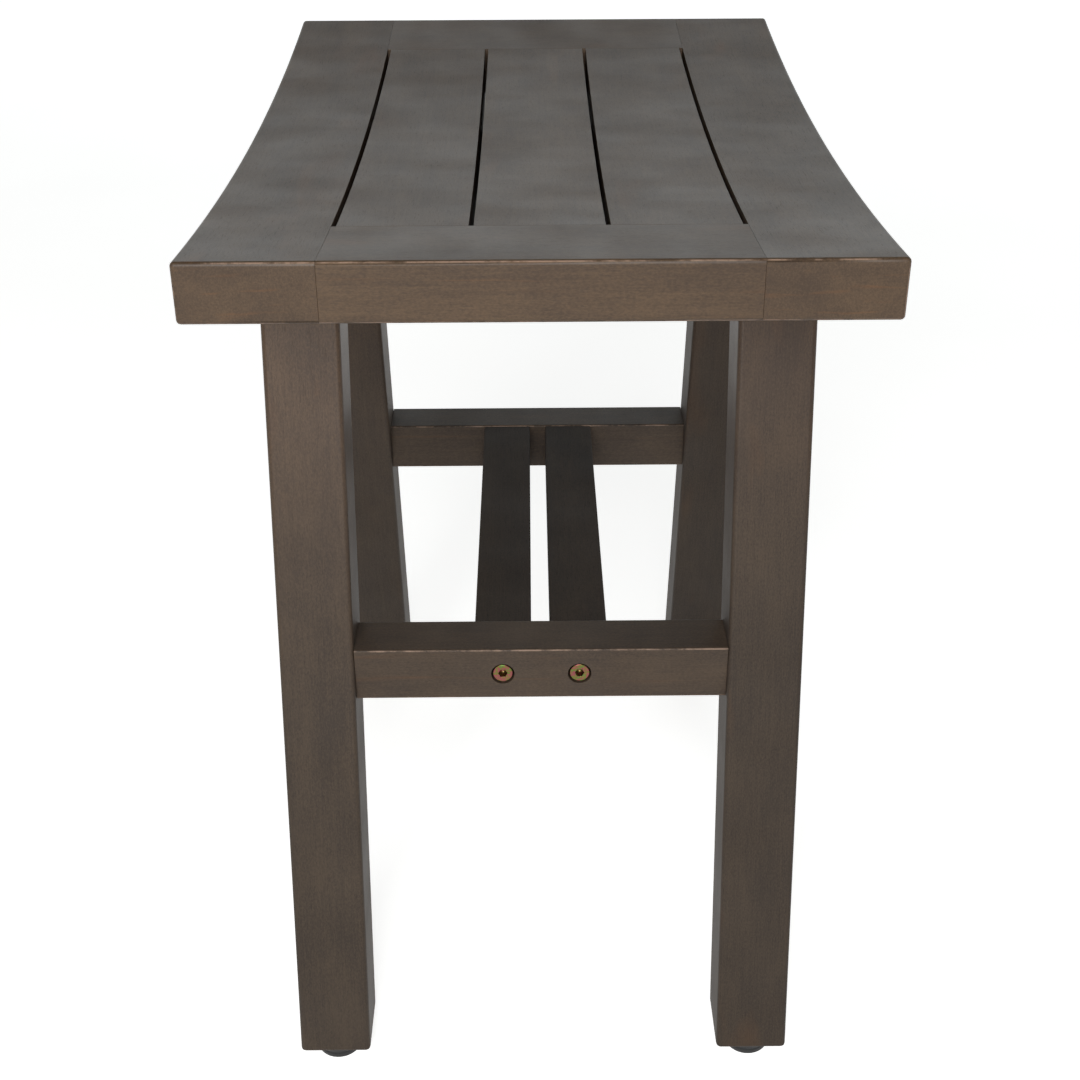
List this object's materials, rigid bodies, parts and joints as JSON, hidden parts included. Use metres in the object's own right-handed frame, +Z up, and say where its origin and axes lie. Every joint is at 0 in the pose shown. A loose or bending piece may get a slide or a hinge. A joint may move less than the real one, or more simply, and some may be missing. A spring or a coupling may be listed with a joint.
{
  "type": "shower bench",
  "caption": "Dished slatted wooden shower bench on splayed square legs with low stretchers, long tie bars, recessed bolts and levelling feet.",
  "frame": {"origin": "on the floor, under the middle of the bench", "axes": "+Z up, +Y along the bench towards its rear end, +X across it towards its right side"},
  "size_m": [0.3, 0.456, 0.488],
  "materials": {
    "stained_wood": "dark grey-brown stain under a thin satin lacquer",
    "yellow_zinc_steel": "yellow passivated zinc on steel",
    "zinc_steel": "bright zinc on steel",
    "brass": "plain turned brass",
    "black_plastic": "moulded, fine matte texture"
  },
  "bodies": {
    "bench": {"side_rail_left": "stained_wood", "side_rail_right": "stained_wood", "end_rail_front": "stained_wood", "end_rail_rear": "stained_wood", "slat_left": "stained_wood", "slat_middle": "stained_wood", "slat_right": "stained_wood", "leg_front_left": "stained_wood", "leg_front_right": "stained_wood", "leg_rear_left": "stained_wood", "leg_rear_right": "stained_wood", "lower_stretcher_front": "stained_wood", "lower_stretcher_rear": "stained_wood", "top_rail_front": "stained_wood", "top_rail_rear": "stained_wood", "long_bar_left": "stained_wood", "long_bar_right": "stained_wood", "bar_bolt_front_left": "yellow_zinc_steel", "bar_bolt_front_right": "yellow_zinc_steel", "bar_bolt_rear_left": "yellow_zinc_steel", "bar_bolt_rear_right": "yellow_zinc_steel", "seat_bolt_front_left": "yellow_zinc_steel", "seat_bolt_front_right": "yellow_zinc_steel", "seat_bolt_rear_left": "yellow_zinc_steel", "seat_bolt_rear_right": "yellow_zinc_steel", "barrel_nut_front_left": "zinc_steel", "barrel_nut_front_right": "zinc_steel", "barrel_nut_rear_left": "zinc_steel", "barrel_nut_rear_right": "zinc_steel", "seat_insert_front_left": "brass", "seat_insert_front_right": "brass", "seat_insert_rear_left": "brass", "seat_insert_rear_right": "brass", "foot_insert_front_left": "brass", "foot_insert_front_right": "brass", "foot_insert_rear_left": "brass", "foot_insert_rear_right": "brass"},
    "foot_front_left": {"foot_stud_front_left": "zinc_steel", "foot_pad_front_left": "black_plastic"},
    "foot_front_right": {"foot_stud_front_right": "zinc_steel", "foot_pad_front_right": "black_plastic"},
    "foot_rear_left": {"foot_stud_rear_left": "zinc_steel", "foot_pad_rear_left": "black_plastic"},
    "foot_rear_right": {"foot_stud_rear_right": "zinc_steel", "foot_pad_rear_right": "black_plastic"}
  },
  "joints": [
    {"name": "foot_front_left_level", "type": "slide", "parent": "bench", "child": "foot_front_left", "axis": [0, 0, -1], "range_m": [-0.0035, 0.008]},
    {"name": "foot_front_right_level", "type": "slide", "parent": "bench", "child": "foot_front_right", "axis": [0, 0, -1], "range_m": [-0.0035, 0.008]},
    {"name": "foot_rear_left_level", "type": "slide", "parent": "bench", "child": "foot_rear_left", "axis": [0, 0, -1], "range_m": [-0.0035, 0.008]},
    {"name": "foot_rear_right_level", "type": "slide", "parent": "bench", "child": "foot_rear_right", "axis": [0, 0, -1], "range_m": [-0.0035, 0.008]}
  ]
}
